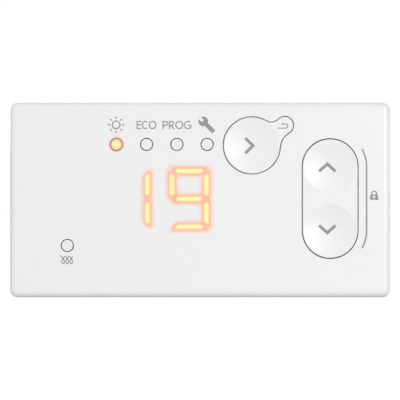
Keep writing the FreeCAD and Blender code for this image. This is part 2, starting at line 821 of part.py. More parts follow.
def make_blade_terminals():
    body = new_body("blade_terminals")
    blades = sketch_on(body, "blade_outlines", "bay_z - blade_thick / 2", "XY_Plane")
    root, shoulder, tip = "-board_back", "-blade_end - blade_tip", "-blade_end"
    half = "blade_width / 2"
    for across in BLADE_PLACES:
        polygon(blades, [
            (f"{across} - {half}", root), (f"{across} + {half}", root), (f"{across} + {half}", shoulder),
            (f"{across} + {half} - blade_tip", tip), (f"{across} - {half} + blade_tip", tip),
            (f"{across} - {half}", shoulder)])
        circle(blades, across, "-blade_end - blade_hole_inset", "blade_hole")
    pad(body, blades, "blade_thick")
    return body


# Rear housing and screws

def make_rear_housing():
    body = new_body("rear_housing")
    plate = sketch_on(body, "housing_plate", "seat_recess")
    wide, tall = "cavity_width - 2 * seat_clear", "cavity_height - 2 * seat_clear"
    rounded(plate, "0", "0", wide, tall, "cavity_round")
    pad(body, plate, "plate_thick")
    box = sketch_on(body, "housing_box", "plate_front")
    rounded(box, "0", "0", "box_width", "box_height", "box_round")
    pad(body, box, "plate_front + box_depth", back=True)
    round_edges(body, "housing_edge", "box_edge", "-box_depth")
    room = sketch_on(body, "housing_room", "plate_front")
    rectangle(room, "0", "0", "2 * box_right", "2 * box_top")
    pocket(body, room, "plate_front + box_depth - rear_wall", back=True)
    posts = sketch_on(body, "housing_posts", "plate_front")
    for across, up in SCREWS:
        circle(posts, across, up, "boss_round")
    pad(body, posts, "board_back - plate_front")
    holes = sketch_on(body, "housing_holes", "seat_recess")
    for across, up in SCREWS:
        circle(holes, across, up, "screw_round + screw_clear")
    pocket(body, holes, "board_back - seat_recess")
    recesses = sketch_on(body, "head_recesses", "seat_recess")
    for across, up in SCREWS:
        circle(recesses, across, up, "head_round + screw_clear")
    pocket(body, recesses, "head_thick")
    add_connector_bay(body)
    add_rear_slots(body)
    for across in (-1, 1):
        for up in (-1, 1):
            add_snap_hook(body, across, up)
    return body


def add_connector_bay(body):
    """A sleeve from the rear wall inwards, closed by a floor that the blades pass through."""
    sleeve = sketch_on(body, "bay_sleeve", "bay_floor + bay_wall")
    rectangle(sleeve, "bay_x", "bay_z", "bay_width + 2 * bay_wall", "bay_height + 2 * bay_wall")
    pad(body, sleeve, "bay_depth + bay_wall", back=True)
    room = sketch_on(body, "bay_room", "-box_depth")
    rectangle(room, "bay_x", "bay_z", "bay_width", "bay_height")
    pocket(body, room, "bay_depth")
    slits = sketch_on(body, "blade_slits", "bay_floor")
    wide, tall = "blade_width + 2 * blade_clear", "blade_thick + 2 * blade_clear"
    for across in BLADE_PLACES:
        rectangle(slits, across, "bay_z", wide, tall)
    pocket(body, slits, "bay_wall")


def add_rear_slots(body):
    """Cooling slots behind the relay, and a shallow bare panel below them."""
    slots = sketch_on(body, "cooling_slots", "-box_depth")
    for across in series(REAR_SLOTS, "relay_x", "slot_pitch"):
        slot(slots, across, "relay_z", "slot_width / 2", "(slot_length - slot_width) / 2")
    pocket(body, slots, "rear_wall")
    panel = sketch_on(body, "bare_panel", "-box_depth")
    middle = "label_width / 2 + part_gap - box_right"
    rectangle(panel, middle, "dropper_z", "label_width", "label_height")
    pocket(body, panel, "label_depth")


def add_snap_hook(body, across, up):
    """A tongue cut free in the box's upper or lower wall, with a ramp that catches the panel."""
    name = ("left" if across < 0 else "right") + ("_low" if up < 0 else "_top")
    middle = f"{across} * hook_offset"
    wall = f"{up} * box_height / 2"
    ramp = sketch_on(body, f"{name}_ramp", f"{middle} - hook_width / 2", "YZ_Plane")
    edge = ["panel_thick", f"{up} * (box_height / 2 + hook_reach)"]
    end = ["panel_thick + hook_length", wall]
    root = ["panel_thick", wall]
    polygon(ramp, [root, end, edge][::up])
    pad(body, ramp, "hook_width")
    slits = sketch_on(body, f"{name}_slits", f"{up} * (box_height / 2 - box_wall)", "XY_Plane")
    start, finish = "(panel_thick - slit_width)", "(panel_thick + slit_length)"
    inner, outer = "hook_width / 2", "(hook_width / 2 + slit_width)"
    polygon(slits, [
        (f"{middle} - {outer}", start), (f"{middle} + {outer}", start), (f"{middle} + {outer}", finish),
        (f"{middle} + {inner}", finish), (f"{middle} + {inner}", "panel_thick"),
        (f"{middle} - {inner}", "panel_thick"), (f"{middle} - {inner}", finish),
        (f"{middle} - {outer}", finish)])
    pocket(body, slits, "box_wall", back=up < 0)


def make_cover_screws():
    body = new_body("cover_screws")
    heads = sketch_on(body, "screw_heads", "seat_recess")
    shanks = sketch_on(body, "screw_shanks", "head_seat")
    for across, up in SCREWS:
        circle(heads, across, up, "head_round")
        circle(shanks, across, up, "screw_round")
    pad(body, heads, "head_thick")
    pad(body, shanks, "screw_end - head_seat")
    crosses = sketch_on(body, "screw_crosses", "seat_recess")
    arm, half = "cross_length / 2", "cross_width / 2"
    for across, up in SCREWS:
        right = [(half, arm), (half, half), (arm, half)]
        right += [(arm, f"-{half}"), (half, f"-{half}"), (half, f"-({arm})")]
        left = [(f"-({aside})", f"-({along})") for aside, along in right]
        polygon(crosses, [(f"{across} + ({aside})", f"{up} + ({along})") for aside, along in right + left])
    pocket(body, crosses, "cross_depth")
    return body


subparts = [
    make_front_cover(),
    make_mode_key(),
    make_temperature_rocker(),
    make_rocker_saddle(),
    make_rocker_pin(),
    make_key_mat(),
    make_contacts("mode_contact", [("mode_x", "mode_z")]),
    make_contacts("rocker_contacts", STEM_PLACES),
    *[make_light_pipe(name) for name in LAMPS],
    *make_display(),
    make_indicator_leds(),
    make_circuit_board(),
    make_processor(),
    make_block("switching_relay", "relay_x", "relay_z", "relay_length", "relay_width", "relay_height"),
    make_block("dropper_capacitor", "dropper_x", "dropper_z", "dropper_length", "dropper_width",
               "dropper_height"),
    make_block("bridge_rectifier", "rectifier_x", "rectifier_z", "rectifier_length", "rectifier_width",
               "rectifier_height"),
    make_block("board_fuse", "fuse_x", "fuse_z", "fuse_length", "fuse_width", "fuse_height"),
    make_reservoir(),
    make_varistor(),
    make_air_sensor(),
    make_blade_terminals(),
    make_rear_housing(),
    make_cover_screws(),
]
doc.recompute()

for thing in doc.Objects:
    if "Invalid" in thing.State or "Error" in thing.State:
        raise RuntimeError(f"{thing.Label} did not build: {thing.State}")
for part in subparts:
    if part.Shape.isNull() or not part.Shape.isValid():
        raise RuntimeError(f"{part.Label} has no valid shape")

os.makedirs("parts", exist_ok=True)
for part in subparts:
    part.Shape.exportStep(f"parts/{part.Label}.step")
    print(f"{part.Label}: {len(part.Shape.Solids)} solid(s), {part.Shape.Volume:.1f} mm3")
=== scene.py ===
# %% [markdown]
# # Control unit of an electric convector heater
#
# The object is the small electronic panel that clips into a heater: a white moulded cover with a
# display that shines through it, five indicator lamps, a round mode key and a tall rocker key.
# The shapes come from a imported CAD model, in metres, with X to the right, Z up and Y running from
# the face into the heater. This lesson gives every piece its material, prints the symbols on the
# face and keys, and sets up a small studio.

# %% Load the CAD model
import math

import bmesh
import bpy
from mathutils import Matrix, Vector
from mathutils.geometry import tessellate_polygon


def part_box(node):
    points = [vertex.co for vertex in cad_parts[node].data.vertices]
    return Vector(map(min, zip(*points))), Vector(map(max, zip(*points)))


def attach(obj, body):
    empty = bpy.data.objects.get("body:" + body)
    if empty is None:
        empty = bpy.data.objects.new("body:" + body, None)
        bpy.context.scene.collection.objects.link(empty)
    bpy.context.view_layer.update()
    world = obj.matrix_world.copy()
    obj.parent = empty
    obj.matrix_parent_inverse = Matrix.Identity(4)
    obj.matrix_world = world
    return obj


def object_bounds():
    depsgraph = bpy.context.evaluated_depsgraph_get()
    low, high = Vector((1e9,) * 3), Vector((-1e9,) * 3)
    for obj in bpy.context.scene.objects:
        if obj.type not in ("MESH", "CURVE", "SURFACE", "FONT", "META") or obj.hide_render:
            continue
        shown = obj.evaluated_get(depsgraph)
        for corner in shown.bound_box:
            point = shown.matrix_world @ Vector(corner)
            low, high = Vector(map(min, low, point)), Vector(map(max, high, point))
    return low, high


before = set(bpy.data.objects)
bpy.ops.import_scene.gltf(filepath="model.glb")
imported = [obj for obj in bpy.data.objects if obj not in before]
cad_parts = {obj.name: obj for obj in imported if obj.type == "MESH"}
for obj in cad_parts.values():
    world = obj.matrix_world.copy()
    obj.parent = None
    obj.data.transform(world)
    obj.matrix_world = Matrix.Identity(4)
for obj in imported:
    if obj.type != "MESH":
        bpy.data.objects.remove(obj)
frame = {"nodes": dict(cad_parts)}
cad_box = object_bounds()
MM = 0.001


def size_mm(box):
    """The sides of a box in mm, to a hundredth."""
    return [round((high - low) / MM, 2) for low, high in zip(*box)]


print("pieces:", len(frame["nodes"]), "size in mm:", size_mm(cad_box))

# %% [markdown]
# ## Colours and nodes
#
# Colours are written as sRGB hex values, as a designer picks them, and shader sockets want linear
# light, so one function converts them. A second small function adds any shader node: settings are
# the node's own properties, and inputs are either plain values or the outputs of other nodes.

# %% Two helpers for materials


def linear(hex_colour):
    """Turn an sRGB hex colour into the linear RGBA of a shader socket."""
    parts = [int(hex_colour[i:i + 2], 16) / 255 for i in (1, 3, 5)]
    return [c / 12.92 if c <= 0.04045 else ((c + 0.055) / 1.055) ** 2.4 for c in parts] + [1.0]


def add(tree, kind, inputs=None, **settings):
    """Add one shader node with its settings, values and links."""
    node = tree.nodes.new("ShaderNode" + kind)
    for name, value in settings.items():
        setattr(node, name, value)
    for socket, value in (inputs or {}).items():
        if isinstance(value, bpy.types.NodeSocket):
            tree.links.new(value, node.inputs[socket])
        else:
            node.inputs[socket].default_value = value
    return node


print("mid grey #808080 is", round(linear("#808080")[0], 3), "in linear light")

# %% [markdown]
# ## A moulded, dipped or rolled surface
#
# Nearly every piece here was formed against a tool: plastic against spark-eroded steel, epoxy
# dipped, sheet rolled. Seen close, such a surface is a fine random relief whose high and low spots
# differ a little in colour and gloss. A noise texture gives all three at once. Its scale is one
# over the grain's width, because object coordinates are in metres. Most real grains are a tenth of
# a millimetre or finer, less than a pixel, so they are drawn a few times wider here. The mix of
# two close colours keeps the piece from looking computer-flat.

# %% One function for such surfaces
# A colour mix keeps hidden sockets for numbers and vectors, so its own are found by their places.
SHARE, COLOUR_A, COLOUR_B, MIXED = 0, 6, 7, 2
GRAIN_DETAIL = 3.0


def formed(name, low, high, grain_mm, relief_mm, roughness, **sockets):
    """A material whose grain varies its colour, roughness and relief."""
    material = bpy.data.materials.new(name)
    material.use_nodes = True
    tree = material.node_tree
    shader = tree.nodes["Principled BSDF"]
    for socket, value in sockets.items():
        shader.inputs[socket].default_value = value
    place = add(tree, "TexCoord").outputs["Object"]
    scale = 1 / (grain_mm * MM)
    grain = add(tree, "TexNoise", {"Vector": place, "Scale": scale, "Detail": GRAIN_DETAIL}).outputs[0]
    tint = add(tree, "Mix", {SHARE: grain, COLOUR_A: linear(low), COLOUR_B: linear(high)},
               data_type="RGBA")
    gloss = add(tree, "MapRange", {"Value": grain, "To Min": roughness[0], "To Max": roughness[1]})
    bump = add(tree, "Bump", {"Height": grain, "Distance": relief_mm * MM})
    tree.links.new(tint.outputs[MIXED], shader.inputs["Base Color"])
    tree.links.new(gloss.outputs[0], shader.inputs["Roughness"])
    tree.links.new(bump.outputs[0], shader.inputs["Normal"])
    return material


def wear(material, *names):
    """Put a material on CAD pieces."""
    for name in names:
        frame["nodes"][name].material_slots[0].material = material
    print(material.name, "on", ", ".join(names))


print("pieces to dress:", ", ".join(frame["nodes"]))

# %% [markdown]
# ## White ABS: keys and cover
#
# Cover and keys are white ABS, moulded in a tool with a very fine spark-eroded finish. That gives
# a soft satin: light spreads over the dished keys without a mirror image. The real grain is about
# 0.1 mm, finer than a pixel, so it is drawn 0.4 mm wide and less than a thousandth of a millimetre
# high.

# %% The keys
WHITE_ABS = dict(low="#EDEDED", high="#F1F1F1", grain_mm=0.4, relief_mm=0.0006,
                 roughness=(0.36, 0.42), IOR=1.53)
key_white = formed("white_abs_keys_satin_moulded", **WHITE_ABS)
wear(key_white, "mode_key", "temperature_rocker")

# %% [markdown]
# ## The lit digits in the cover
#
# The display sits behind a thinned area of the cover and shines through it, so the digits have no
# edge of their own: a yellow core melts into a peach halo, which fades into the white. This could
# be a sticker of glowing shapes, but light inside the plastic is truer. The cover's material
# works out how far a point is from the lit segments, and a ramp turns that distance into light.
# Each segment is a pen line. Its core is short, so that neighbours stay apart, and its halo longer,
# so that the light runs together where segments meet. The ends lean, as the segments of such a
# display are mitred to fit each other: the side on the digit's outside reaches further.

# %% The lit segments, in millimetres on the face


def middle(node):
    """Where the middle of a CAD piece lies on the face, in mm across and up."""
    low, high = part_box(node)
    return Vector((low[0] + high[0], low[2] + high[2])) / 2 / MM


DISPLAY = middle("display_light_box")
DIGIT_PITCH = 13.6
DIGIT_X = {"tens": DISPLAY.x - DIGIT_PITCH / 2, "units": DISPLAY.x + DIGIT_PITCH / 2}
HALF_WIDTH, HALF_HEIGHT = 3.96, 6.4
HALF_STROKE = 0.46
POST_MIDDLE = 3.2
# Both ends of a core, then of a halo: how far they reach from the segment's centre, and how much
# further for each millimetre towards the digit's outside. A post's end at the corner comes first.
BAR_ENDS = [(2.55, 0.3), (2.55, 0.3)], [(2.82, 0.6), (2.82, 0.6)]
MIDDLE_BAR_ENDS = [(2.4, 0.0), (2.4, 0.0)], [(3.1, 0.0), (3.1, 0.0)]
POST_ENDS = [(1.95, 0.3), (1.85, 0.1)], [(2.08, 0.6), (2.1, 0.0)]


def lit_bar(digit, level):
    """A level segment, top (1), middle (0) or bottom (-1): its centre, way, outside and ends."""
    centre = (DIGIT_X[digit], 0, DISPLAY.y + level * HALF_HEIGHT)
    return centre, Vector((1, 0, 0)), (0, 0, level), BAR_ENDS if level else MIDDLE_BAR_ENDS


def lit_post(digit, side, level):
    """An upright segment, left (-1) or right (1), upper (1) or lower (-1)."""
    centre = (DIGIT_X[digit] + side * HALF_WIDTH, 0, DISPLAY.y + level * POST_MIDDLE)
    return centre, Vector((0, 0, level)), (side, 0, 0), POST_ENDS


LIT = [lit_post("tens", 1, 1), lit_post("tens", 1, -1)]
LIT += [lit_bar("units", level) for level in (1, 0, -1)]
LIT += [lit_post("units", -1, 1), lit_post("units", 1, 1), lit_post("units", 1, -1)]
print("lit segments:", len(LIT))

# %% [markdown]
# ## Distance with shader nodes
#
# The distance from a line of some length is the length of what is left of a vector after the
# line's own reach is taken off. A few vector nodes do that, and two of them let middle and reach
# change with the offset towards the digit's outside, which makes the ends lean.

# %% Distance from one lit stroke


def face_spot(tree):
    """A point's place on the face in mm, whatever its depth."""
    apart = add(tree, "SeparateXYZ", {0: add(tree, "TexCoord").outputs["Object"]})
    flat = add(tree, "CombineXYZ", {"X": apart.outputs["X"], "Z": apart.outputs["Z"]})
    return add(tree, "VectorMath", {0: flat.outputs[0], "Scale": 1 / MM}, operation="SCALE").outputs[0]


def beyond(tree, off, outward, way, ends):
    """How far a point lies beyond a line with leaning ends, from its offset and the part outwards."""
    (reach, lean), (back_reach, back_lean) = ends
    line = Vector([abs(part) for part in way])
    shift = add(tree, "VectorMath", {0: outward, 1: way * (lean - back_lean) / 2,
                                     2: way * (reach - back_reach) / 2}, operation="MULTIPLY_ADD")
    half = add(tree, "VectorMath", {0: outward, 1: line * (lean + back_lean) / 2,
                                    2: line * (reach + back_reach) / 2}, operation="MULTIPLY_ADD")
    away = add(tree, "VectorMath", {0: off, 1: shift.outputs[0]}, operation="SUBTRACT")
    away = add(tree, "VectorMath", {0: away.outputs[0]}, operation="ABSOLUTE")
    past = add(tree, "VectorMath", {0: away.outputs[0], 1: half.outputs[0]}, operation="SUBTRACT")
    left = add(tree, "VectorMath", {0: past.outputs[0], 1: (0, 0, 0)}, operation="MAXIMUM")
    return add(tree, "VectorMath", {0: left.outputs[0]}, operation="LENGTH").outputs["Value"]


print("a lit stroke is", 2 * HALF_STROKE, "mm wide")

# %% [markdown]
# ## Distance from all strokes
#
# The smallest distance over all segments is that of the nearest one. For the halos this is a
# smooth minimum, because the light of neighbours adds up where they meet. The cores decide up to
# the peach colour and the halos beyond it.

# %% Distance from the digits
# Each stop is a distance from the edge of the stroke in mm, a colour, and the share of light in it.
PEACH = 0.33
GLOW = [(-HALF_STROKE, "#FBFDA4", 1.0), (-0.22, "#FAF5A3", 1.0), (0.0, "#FADBA2", 1.0),
        (0.2, "#FBC3A0", 1.0), (PEACH, "#FCB597", 1.0), (0.52, "#FCB597", 0.76),
        (0.76, "#FCBBA0", 0.5), (0.99, "#FCBEA4", 0.28), (1.2, "#FCBEA4", 0.1), (1.4, "#FCBEA4", 0.0)]
HALO_BLEND = 1.6


def fold(tree, operation, sockets, smooth=0.0):
    """Reduce many values to one with a chain of math nodes."""
    result = sockets[0]
    for socket in sockets[1:]:
        result = add(tree, "Math", {0: result, 1: socket, 2: smooth}, operation=operation).outputs[0]
    return result


def digit_distance(tree):
    """The distance in mm from the edge of the lit strokes."""
    spot = face_spot(tree)
    cores, halos = [], []
    for centre, way, outside, (core, halo) in LIT:
        off = add(tree, "VectorMath", {0: spot, 1: centre}, operation="SUBTRACT").outputs[0]
        outward = add(tree, "VectorMath", {0: off, 1: outside}, operation="DOT_PRODUCT").outputs["Value"]
        cores.append(beyond(tree, off, outward, way, core))
        halos.append(beyond(tree, off, outward, way, halo))
    nearest = fold(tree, "MINIMUM", cores)
    inner = add(tree, "Math", {0: nearest, 1: HALF_STROKE + PEACH}, operation="MINIMUM").outputs[0]
    both = fold(tree, "MAXIMUM", [fold(tree, "SMOOTH_MIN", halos, HALO_BLEND), inner])
    return add(tree, "Math", {0: both, 1: HALF_STROKE}, operation="SUBTRACT").outputs[0]


print("the glow reaches", GLOW[-1][0], "mm beyond a stroke")

# %% [markdown]
# ## Light laid over a surface
#
# One colour ramp turns a distance into light. Its alpha is the share of light, which takes over
# from the plastic's own colour and from light that was laid before.

# %% Two functions for light
BLACK = linear("#000000")


def light_ramp(tree, distance, stops):
    """Colours, and shares of light as alpha, over a distance in mm."""
    first, last = stops[0][0], stops[-1][0]
    along = add(tree, "MapRange", {"Value": distance, "From Min": first, "From Max": last})
    ramp = add(tree, "ValToRGB", {0: along.outputs[0]})
    while len(ramp.color_ramp.elements) < len(stops):
        ramp.color_ramp.elements.new(1.0)
    for stop, (place, colour, share) in zip(ramp.color_ramp.elements, stops):
        stop.position = (place - first) / (last - first)
        stop.color = linear(colour)[:3] + [share]
    return ramp.outputs


def lay_light(material, light, before=BLACK):
    """Let light take over from a material's own colour, and from light laid before."""
    tree = material.node_tree
    shader = tree.nodes["Principled BSDF"]
    plastic = shader.inputs["Base Color"].links[0].from_socket
    share = light["Alpha"]
    own = add(tree, "Mix", {SHARE: share, COLOUR_A: plastic, COLOUR_B: BLACK}, data_type="RGBA")
    glow = add(tree, "Mix", {SHARE: share, COLOUR_A: before, COLOUR_B: light["Color"]}, data_type="RGBA")
    tree.links.new(own.outputs[MIXED], shader.inputs["Base Color"])
    tree.links.new(glow.outputs[MIXED], shader.inputs["Emission Color"])
    shader.inputs["Emission Strength"].default_value = 1.0
    return glow.outputs[MIXED]


print("colours in the digits' ramp:", len(GLOW))

# %% [markdown]
# ## The cover
#
# The cover is the same white ABS as the keys, with two lights laid over it: the digits, and around
# the ring of the lit lamp a faint red-brown glow that the plastic catches from the rod inside. Where
# that glow takes over from the white, it also makes the ring darker: that part is painted shade of
# the gap around the lamp.

# %% The cover with its digits and the lamp's rim
LAMP = middle("comfort_light_pipe")
# Here the distance of each stop is from the lamp's axis. The rim is partly glow and partly painted
# shade, which darkens the white around the lamp's gap.
LAMP_RIM_GLOW_AND_PAINTED_SHADE = [(1.3, "#C08070", 0.5), (1.6, "#C88E80", 0.5), (1.78, "#D8A89C", 0.3),
            (1.9, "#E0B8B0", 0.06), (2.0, "#E0B8B0", 0.0)]


def lamp_distance(tree):
    """The distance in mm from the lit lamp's axis."""
    axis = (LAMP.x, 0, LAMP.y)
    return add(tree, "VectorMath", {0: face_spot(tree), 1: axis}, operation="DISTANCE").outputs["Value"]


cover_white = formed("white_abs_cover_satin_moulded", **WHITE_ABS)
tree = cover_white.node_tree
digits = lay_light(cover_white, light_ramp(tree, digit_distance(tree), GLOW))
# The lamp's rim: a red-brown glow, and painted shade that darkens the ring around the lamp.
lay_light(cover_white, light_ramp(tree, lamp_distance(tree), LAMP_RIM_GLOW_AND_PAINTED_SHADE), digits)
wear(cover_white, "front_cover")

# %% [markdown]
# ## Opal acrylic: the lamps
#
# Behind each lamp ring ends a rod of opal acrylic that carries the light of a small LED to the
# face. Unlit it looks like the plastic around it, only smoother. The lit one is brightest in the
# middle and turns orange towards its rim, where less light comes straight from the LED. Its sides
# glow a dull red-brown into the ring around it. Distance from the rod's axis and depth below the
# face choose between these colours.

# %% Unlit and lit light pipes
OPAL = dict(low="#EBEBEA", high="#F0F0EF", grain_mm=0.6, relief_mm=0.001,
            roughness=(0.3, 0.36), IOR=1.49)
opal = formed("opal_acrylic_moulded", **OPAL)
wear(opal, "eco_light_pipe", "programme_light_pipe", "service_light_pipe", "heating_light_pipe")

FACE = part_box("front_cover")[0][1] / MM
LAMP_GLOW = [(0.0, "#F2FAA2", 1.0), (0.62, "#F4EEA0", 1.0), (0.92, "#F6DAA2", 1.0),
             (1.17, "#F4BCA0", 1.0), (1.3, "#DE9480", 1.0)]
ROD_SIDE, SIDE_FROM, SIDE_FULL = "#A06E5C", 0.1, 0.3
LIT_OWN = "#202020"
lit_opal = formed("opal_acrylic_lit", **OPAL)
tree = lit_opal.node_tree
shader = tree.nodes["Principled BSDF"]
rod_end = light_ramp(tree, lamp_distance(tree), LAMP_GLOW)["Color"]
apart = add(tree, "SeparateXYZ", {0: add(tree, "TexCoord").outputs["Object"]})
depth = add(tree, "MapRange", {"Value": apart.outputs["Y"], "From Min": (FACE + SIDE_FROM) * MM,
                               "From Max": (FACE + SIDE_FULL) * MM}).outputs[0]
glow = add(tree, "Mix", {SHARE: depth, COLOUR_A: rod_end, COLOUR_B: linear(ROD_SIDE)}, data_type="RGBA")
tree.links.new(glow.outputs[MIXED], shader.inputs["Emission Color"])
shader.inputs["Emission Strength"].default_value = 1.0
tree.links.remove(shader.inputs["Base Color"].links[0])
shader.inputs["Base Color"].default_value = linear(LIT_OWN)
wear(lit_opal, "comfort_light_pipe")

# %% [markdown]
# ## The back: grey ABS, screws and blades
#
# The rear housing is light grey ABS with a coarser spark-eroded grain, which hides scratches from
# fitting. The screws are zinc-plated steel and the blades tin-plated brass, both metals with a
# slightly cloudy plating, so their roughness varies over a millimetre or so. A metal takes its
# colour as its reflection.

# %% Housing, screws and blades
wear(formed("grey_abs_spark_eroded", "#CDCFCE", "#D6D8D7", grain_mm=0.5, relief_mm=0.012,
            roughness=(0.5, 0.62), IOR=1.53), "rear_housing")
wear(formed("zinc_plated_steel", "#B9BBB8", "#CBCCC8", grain_mm=0.8, relief_mm=0.003,
            roughness=(0.28, 0.42), Metallic=1.0), "cover_screws")
wear(formed("tinned_brass_stamped", "#D3CFC4", "#DEDBD2", grain_mm=1.4, relief_mm=0.002,
            roughness=(0.2, 0.36), Metallic=1.0), "blade_terminals")

# %% [markdown]
# ## Inside: keypad and display
#
# The inner pieces show only through the slots and vents, but a part that is taken apart or cut
# open should still look right. Each gets the material its real counterpart has: silicone keypad,
# carbon contacts, acetal saddle, ground steel pin, white light box and film, and LED packages
# under yellow phosphor.

# %% Keypad and display stack
wear(formed("silicone_rubber_moulded", "#9A9C9E", "#A3A5A7", grain_mm=0.7, relief_mm=0.004,
            roughness=(0.62, 0.74), IOR=1.41), "key_mat")
wear(formed("carbon_rubber_pill", "#1D1D1E", "#29292A", grain_mm=0.3, relief_mm=0.006,
            roughness=(0.7, 0.8), IOR=1.5), "mode_contact", "rocker_contacts")
wear(formed("acetal_moulded", "#E2E0D8", "#EAE8E1", grain_mm=0.6, relief_mm=0.002,
            roughness=(0.34, 0.42), IOR=1.48), "rocker_saddle")
wear(formed("ground_steel_pin", "#C6C5C1", "#D2D1CE", grain_mm=0.15, relief_mm=0.001,
            roughness=(0.2, 0.3), Metallic=1.0), "rocker_pin")
wear(formed("white_polycarbonate_light_box", "#EFEFEB", "#F5F5F2", grain_mm=0.5, relief_mm=0.003,
            roughness=(0.4, 0.5), IOR=1.58), "display_light_box")
wear(formed("diffuser_film_matt", "#F1F1EE", "#F7F7F5", grain_mm=0.3, relief_mm=0.002,
            roughness=(0.55, 0.65), IOR=1.57), "display_diffuser")
wear(formed("led_package_phosphor", "#F0D878", "#F6E6A0", grain_mm=0.3, relief_mm=0.002,
            roughness=(0.3, 0.4), IOR=1.5), "segment_leds", "indicator_leds")

# %% [markdown]
# ## Inside: the circuit board
#
# The board is glass epoxy under green solder mask. Its components are moulded in epoxy or in
# plastic cases, dipped, or sleeved, and their colours are the usual ones, by which a repairer tells
# them apart.

# %% Circuit board and components
wear(formed("green_solder_mask_on_glass_epoxy", "#1E6B38", "#2A7F47", grain_mm=0.8, relief_mm=0.004,
            roughness=(0.3, 0.42), IOR=1.55), "circuit_board")
wear(formed("black_epoxy_moulded", "#1B1B1C", "#262627", grain_mm=0.25, relief_mm=0.004,
            roughness=(0.55, 0.65), IOR=1.55), "microcontroller", "bridge_rectifier")
wear(formed("blue_relay_case_moulded", "#22345A", "#2A3E69", grain_mm=0.5, relief_mm=0.003,
            roughness=(0.4, 0.5), IOR=1.55), "switching_relay")
wear(formed("yellow_polyester_capacitor_case", "#C9A227", "#D4AE38", grain_mm=0.5, relief_mm=0.003,
            roughness=(0.4, 0.5), IOR=1.55), "dropper_capacitor")
wear(formed("black_shrink_sleeve", "#202124", "#2B2C30", grain_mm=0.9, relief_mm=0.002,
            roughness=(0.26, 0.34), IOR=1.54), "reservoir_capacitor")
wear(formed("blue_dipped_epoxy", "#2B5AA5", "#3566B3", grain_mm=0.7, relief_mm=0.01,
            roughness=(0.34, 0.46), IOR=1.52), "surge_varistor")
wear(formed("brown_fuse_case_moulded", "#6B3A22", "#77442B", grain_mm=0.4, relief_mm=0.003,
            roughness=(0.42, 0.52), IOR=1.55), "board_fuse")
wear(formed("dipped_thermistor_on_tinned_leads", "#4A2A1C", "#583524", grain_mm=0.4, relief_mm=0.004,
            roughness=(0.28, 0.36), IOR=1.52), "air_sensor")

# %% [markdown]
# ## Ink on the face
#
# The symbols are printed in grey ink. A print could be painted by the material, but as thin
# pieces of their own the symbols stay crisp at any distance and move with the key they are on.
# In the hollow keys the surface is part of a sphere, so every point of an outline is dropped onto
# the sphere. The rocker's place and size come from its CAD piece. The round key has a lobe on one
# side, so its middle is that of the contact under it, and half its width is written here.

# %% The surfaces that carry ink
DISH_DEPTH, DISH_RIM = 0.8, 0.3
MODE, MODE_HALF = middle("mode_contact"), 6.505
ROCKER = middle("temperature_rocker")
rocker_width, _, rocker_height = size_mm(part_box("temperature_rocker"))
ROCKER_HALF = rocker_width / 2
ROCKER_ARM = rocker_height / 2 - ROCKER_HALF
UPPER, LOWER = ROCKER + Vector((0, ROCKER_ARM)), ROCKER - Vector((0, ROCKER_ARM))


def face(x, z):
    """The depth of the flat face, the same all over."""
    return FACE


def dish(centre, half):
    """The depth of a key's hollow, a part of a sphere inside the key's rim."""
    radius = half - DISH_RIM
    sphere = (radius ** 2 + DISH_DEPTH ** 2) / (2 * DISH_DEPTH)

    def surface(x, z):
        off = math.hypot(x - centre.x, z - centre.y)
        return FACE + DISH_DEPTH - sphere + math.sqrt(sphere ** 2 - off ** 2)

    return surface


MODE_KEY = dish(MODE, MODE_HALF)
UPPER_KEY, LOWER_KEY = dish(UPPER, ROCKER_HALF), dish(LOWER, ROCKER_HALF)
print("face at", round(FACE, 2), "mm; the mode key's dish at", round(MODE_KEY(*MODE), 2), "mm")

# %% [markdown]
# ## Pen lines
#
# Most of the symbols are drawn with a pen of one width. Blender's curves could do that, but their
# flat outlines don't lie on a dish. So a pen line is turned into its outline: each point is moved
# to both sides, along the mitre where two stretches meet. A ring has an outer and an inner
# outline.

# %% Strokes and arcs


def stroke(points, width, closed=False):
    """The outline of a pen line through points, with mitred corners: one loop, or two if closed."""
    points = [Vector(p) for p in points]
    sides = ([], [])
    for i, here in enumerate(points):
        before = points[i - 1] if closed or i > 0 else None
        after = points[(i + 1) % len(points)] if closed or i < len(points) - 1 else None
        runs = [(end - begin).normalized() for begin, end in ((before, here), (here, after))
                if begin is not None and end is not None]
        normals = [Vector((-run.y, run.x)) for run in runs]
        mitre = sum(normals, Vector((0, 0))).normalized()
        mitre *= width / 2 / mitre.dot(normals[0])
        sides[0].append(here + mitre)
        sides[1].append(here - mitre)
    if closed:
        return [sides[0], sides[1]]
    return [sides[0] + sides[1][::-1]]


def arc(centre, radii, start, end, steps=24):
    """Points on an arc from one angle to another, in degrees; its radii are across and up."""
    angles = [math.radians(start + (end - start) * i / steps) for i in range(steps + 1)]
    return [(centre[0] + radii[0] * math.cos(a), centre[1] + radii[1] * math.sin(a)) for a in angles]


def ring(centre, radii, width):
    """The two outlines of a round pen line."""
    return stroke(arc(centre, radii, 0, 360, steps=48)[:-1], width, closed=True)


print("points in a half circle:", len(arc((0, 0), (1, 1), 0, 180)))

# %% [markdown]
# ## Laying the ink
#
# Screen print ink is matt and even. A shape is given as loops, and inner loops are holes. Blender
# fills them with triangles, which become the top and the bottom of a thin solid, and a rim of
# quads closes it. Long steps of an outline are divided first, so that it follows a dish. Real ink
# is about 0.01 mm thick. Here it stands 0.04 mm proud, so that it clears the small facets of the
# meshed dishes.

# %% A thin solid of ink
INK_PROUD, INK_SUNK = 0.04, 0.05
INK_STEP = 0.3


def refined(loop):
    """Divide an outline so that no step is longer than INK_STEP."""
    points = []
    for a, b in zip(loop, loop[1:] + loop[:1]):
        steps = max(1, math.ceil(math.dist(a, b) / INK_STEP))
        points += [Vector(a).lerp(Vector(b), i / steps) for i in range(steps)]
    return points


